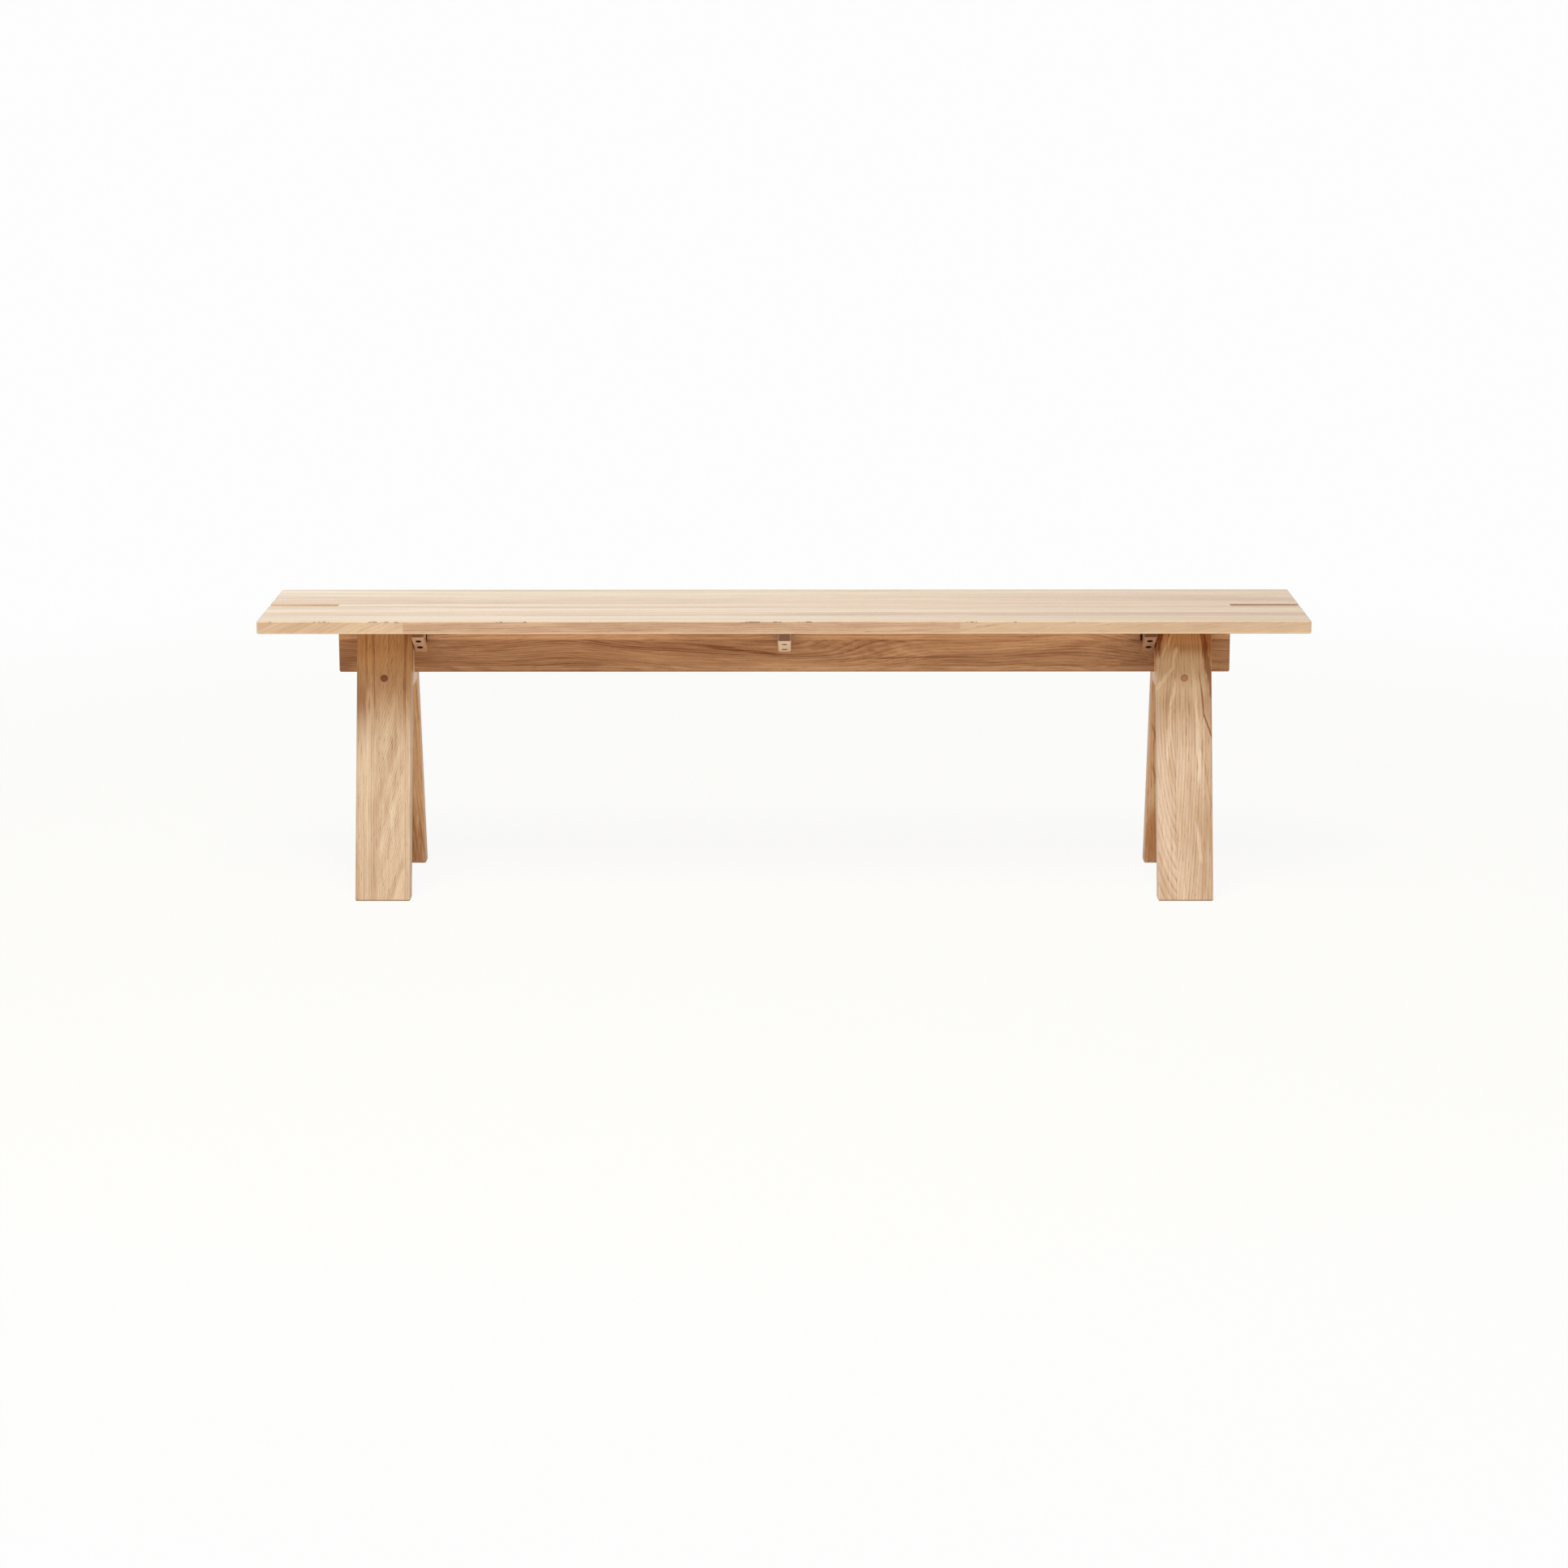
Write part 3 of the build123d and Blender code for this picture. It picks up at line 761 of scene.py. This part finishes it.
def crosswise_cut(node, top, pith, **grain):
    """A cut with its grain across the bench, measured from the middle of the node's top or bottom."""
    low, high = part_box(node)
    height = high.z if top else low.z
    return Cut(((low.x + high.x) / 2, 0, height), (0, 1, 0), (1, 0, 0), pith, **grain)


block_tones = {
    "left": (srgb(255, 238, 208), srgb(248, 220, 184), srgb(206, 166, 130)),
    "right": (srgb(253, 222, 186), srgb(242, 202, 160), srgb(200, 150, 110)),
}
for side, seed in (("left", 41.0), ("right", 42.0)):
    name = "saddle_block_" + side
    cut = crosswise_cut(name, False, (20, -70), ring=3.0, sway=1.0, seed=seed)
    block_oak = oak(name, cut, block_tones[side], figure=0.3, streaks=0.4, ticks=0.3, mottle=0.3)
    paint(name, block_oak)

# Painted shade on the counterbores' walls, by their reach from the batten's middle and how far behind its
# end they start. The outer counterbores take less painted shade.
BORE_WALL = (0.4, 0.1)
BORE_START = (-1, -2)
UPRIGHT = (0.5, 0.3)
INNER_BORES = (-15, -25)
OUTER_BORE_SHARE = 0.65

# Painted shade on the sides that are cut back at the rail, by their reach along the batten and from its
# middle
WAIST_END = (1, 0)
WAIST_SIDE = (9.2, 8.8)
WAIST_SHADE_SHARE = 0.85


def batten_recess_shade(middle_x, end_y):
    """Painted shade inside a batten's counterbores and on its sides where it is cut back at the rail, which
    also lose their gloss.
    """

    def finish(net, colour):
        x, y, z = net.parts(net.place())
        facing = net.parts(net.normal())
        aside, along = abs(x - middle_x), abs(y)
        bore = net.inset(aside, BORE_RADIUS, *BORE_WALL) * net.step(abs(facing[2]), *UPRIGHT)
        bore = bore * net.inset(along, end_y, *BORE_START)
        inner = net.inset(along, end_y, *INNER_BORES)
        share = inner * (1 - OUTER_BORE_SHARE) + OUTER_BORE_SHARE
        waist = net.step(abs(facing[0]), *FLAT_SIDE) * net.inset(along, WAIST_REACH, *WAIST_END)
        waist = waist * net.inset(aside, 0, *WAIST_SIDE)
        colour = net.mix(bore * share, colour, RECESS_SHADE)
        return net.mix(waist * WAIST_SHADE_SHARE, colour, RECESS_SHADE), net.math("MAXIMUM", bore, waist)

    return finish


batten_tones = {
    "left": (srgb(226, 192, 160), srgb(184, 144, 112), srgb(112, 68, 48)),
    "centre": (srgb(247, 233, 213), srgb(228, 202, 175), srgb(118, 64, 38)),
    "right": (srgb(196, 156, 126), srgb(150, 108, 80), srgb(104, 62, 44)),
}
for place, seed in (("left", 51.0), ("centre", 52.0), ("right", 53.0)):
    name = "cross_batten_" + place
    cut = crosswise_cut(name, True, (10, 40), tilt=(0, 0.02), ring=3.4, sway=1.0, seed=seed)
    finish = batten_recess_shade(cut.origin.x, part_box(name)[1].y)
    batten_oak = oak(name, cut, batten_tones[place], figure=0.35, streaks=0.4, ticks=0.3, mottle=0.3,
                     arris=0.1, end_shade=0.8, finish=finish)
    paint(name, batten_oak)

# Plugs

# Painted shade in the gap round a plug, by how far in from its edge it starts and is full
PLUG_RIM = (-1.6, -0.7)
PLUG_RIM_SHARE = 0.3


def plug_gap_shade(centre, along, across):
    """Painted shade in the thin gap round a plug, which also loses its gloss."""

    def finish(net, colour):
        local = net.vector_math("SUBTRACT", net.place(), centre).outputs[0]
        sides = [net.dot(local, axis) for axis in (along, across)]
        reach = net.math("SQRT", sides[0] * sides[0] + sides[1] * sides[1])
        rim = net.inset(reach, PLUG_RADIUS, *PLUG_RIM)
        return net.mix(rim * PLUG_RIM_SHARE, colour, RECESS_SHADE), rim

    return finish


plug_tones = {
    "left": (srgb(188, 134, 92), srgb(136, 90, 60), srgb(104, 64, 42)),
    "right": (srgb(238, 188, 148), srgb(206, 154, 116), srgb(182, 128, 92)),
}
plug_seeds = {"front_left": 63.0, "front_right": 60.0, "rear_left": 65.0, "rear_right": 62.0}
for place, seed in plug_seeds.items():
    name = "leg_plug_" + place
    row_name, side = place.split("_")
    low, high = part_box(name)
    along, across = leg_axes(FRONT if row_name == "front" else REAR)
    cut = Cut((low + high) / 2, along.cross(across), across, pith=(9, 7), ring=1.8, sway=0.3, bends=60.0,
              seed=seed)
    plug_oak = oak(name, cut, plug_tones[side], figure=0.6, streaks=0.4, ticks=0.5, mottle=0.3,
                   finish=plug_gap_shade(cut.origin, along, across))
    paint(name, plug_oak)

# Hidden dowels and steel screws

FLECKS = ((500.0, 500.0, 90.0), 3.0)
FLECK_STEP = (0.05, 0.2)
FLECK_ROUGHNESS = 0.1
BEECH_ROUGHNESS = 0.55
BLOTCHES = ((900.0, 900.0, 900.0), 5.0, 3.0)
BLOTCH_ROUGHNESS = 0.2
STEEL_ROUGHNESS = 0.3


def dowel_wood():
    """Plain pale beech with short brown flecks."""
    net = Net("dowel_beech")
    flecks = net.step(net.noise(net.parts(net.place()), *FLECKS), *FLECK_STEP)
    colour = net.mix(flecks, srgb(222, 184, 146), srgb(176, 128, 92))
    return net.surface(colour, flecks * FLECK_ROUGHNESS + BEECH_ROUGHNESS)


def burnished_steel():
    """Dark burnished steel, faintly blotched."""
    net = Net("screw_steel")
    blotches = net.noise(net.parts(net.place()), *BLOTCHES) + 0.5
    colour = net.mix(blotches, srgb(70, 60, 52), srgb(96, 82, 68))
    return net.surface(colour, blotches * BLOTCH_ROUGHNESS + STEEL_ROUGHNESS, Metallic=1.0)


dowel_material = dowel_wood()
screw_material = burnished_steel()
for node in nodes:
    if "dowels" in node:
        paint(node, dowel_material)
    if "screws" in node:
        paint(node, screw_material)

# Studio

PAPER = (0.985, 0.985, 0.985, 1.0)
FLOOR_RADIUS = 30.0
FLOOR_SIDES = 96
FLOOR_SHADE = (0.94, 0.88, 0.50, 1.0)
FLOOR_BOUNCE = (0.95, 0.82, 0.68, 1.0)
SHADOW_SHARE = 0.065
SHADOW_NEAR = 1.4
SHADOW_FAR = 3.2
AMBIENT = (1.0, 0.96, 0.90, 1.0)
AMBIENT_STRENGTH = 0.28

KEY_PLACE = (-0.7, -3.1, 4.9)
KEY_TARGET = (0, 0, 0.3)
KEY_SIZE = (3.6, 3.8)
KEY_POWER = 285


def seen_directly(net):
    """1 for what the camera, a reflection or a clear piece shows, 0 for light on its way."""
    path = net.node("ShaderNodeLightPath").outputs
    reflected = net.math("MAXIMUM", path["Is Glossy Ray"], path["Is Transmission Ray"])
    return net.math("MAXIMUM", path["Is Camera Ray"], reflected)


def studio_floor():
    """A white floor that the camera sees as paper white, keeping a share of the bench's shadow near it."""
    net = Net("studio_floor")
    far = net.vector_math("LENGTH", net.place()).outputs["Value"]
    keep = net.step(far, SHADOW_FAR, SHADOW_NEAR) * SHADOW_SHARE
    paper = net.node("ShaderNodeEmission", (PAPER, 1.0)).outputs[0]
    shaded = net.node("ShaderNodeBsdfDiffuse", (FLOOR_SHADE,)).outputs[0]
    bounce = net.node("ShaderNodeBsdfDiffuse", (FLOOR_BOUNCE,)).outputs[0]
    seen = net.node("ShaderNodeMixShader", (keep, paper, shaded)).outputs[0]
    return net.output(net.node("ShaderNodeMixShader", (seen_directly(net), bounce, seen)).outputs[0])


def disc(name, radius, sides):
    """A flat disc at the floor's height."""
    mesh = bpy.data.meshes.new(name)
    shape = bmesh.new()
    bmesh.ops.create_circle(shape, cap_ends=True, radius=radius, segments=sides)
    shape.to_mesh(mesh)
    shape.free()
    made = bpy.data.objects.new(name, mesh)
    bpy.context.scene.collection.objects.link(made)
    return made


floor = disc("floor", FLOOR_RADIUS, FLOOR_SIDES)
floor.data.materials.append(studio_floor())


class WorldNet(Net):
    """The nodes of the world."""

    def __init__(self, name):
        self.world = bpy.data.worlds.new(name)
        self.world.use_nodes = True
        self.tree = self.world.node_tree
        self.tree.nodes.clear()


def studio_world():
    """Even pale light all round; what the camera and reflections see of it is white."""
    net = WorldNet("studio")
    light = net.node("ShaderNodeBackground", (AMBIENT, AMBIENT_STRENGTH)).outputs[0]
    paper = net.node("ShaderNodeBackground", (PAPER, 1.0)).outputs[0]
    mixed = net.node("ShaderNodeMixShader", (seen_directly(net), light, paper)).outputs[0]
    net.feed(net.node("ShaderNodeOutputWorld").inputs["Surface"], mixed)
    return net.world


bpy.context.scene.world = studio_world()


def softbox(name, place, size, power, target):
    """A large soft light at a place, facing a target."""
    lamp = bpy.data.lights.new(name, "AREA")
    lamp.shape = "RECTANGLE"
    lamp.size, lamp.size_y = size
    lamp.energy = power
    made = bpy.data.objects.new(name, lamp)
    bpy.context.scene.collection.objects.link(made)
    made.location = place
    made.rotation_mode = "QUATERNION"
    made.rotation_quaternion = (Vector(place) - Vector(target)).to_track_quat("Z", "Y")


softbox("key", KEY_PLACE, KEY_SIZE, KEY_POWER, KEY_TARGET)

# Camera

CAMERA_PLACE = (0.0355, -6.4868, 1.4641)
CAMERA_PITCH = math.radians(11.386)
CAMERA_YAW = math.radians(-0.319)
CAMERA_ROLL = math.radians(-0.077)
CAMERA_LENS = 94.08
CAMERA_SENSOR = 36.0

camera = bpy.data.objects.new("camera", bpy.data.cameras.new("camera"))
bpy.context.scene.collection.objects.link(camera)
camera.data.lens = CAMERA_LENS
camera.data.sensor_width = CAMERA_SENSOR
camera.location = CAMERA_PLACE
level_forward = Vector((math.sin(CAMERA_YAW), math.cos(CAMERA_YAW), 0))
level_right = Vector((math.cos(CAMERA_YAW), -math.sin(CAMERA_YAW), 0))
forward = level_forward * math.cos(CAMERA_PITCH) - Vector((0, 0, math.sin(CAMERA_PITCH)))
right = level_right * math.cos(CAMERA_ROLL) + level_right.cross(forward) * math.sin(CAMERA_ROLL)
turn = camera.matrix_world.to_3x3()
turn.col[0], turn.col[1], turn.col[2] = right, right.cross(forward), -forward
camera.rotation_mode = "QUATERNION"
camera.rotation_quaternion = turn.to_quaternion()
bpy.context.scene.camera = camera

bpy.context.scene.view_settings.view_transform = "Standard"
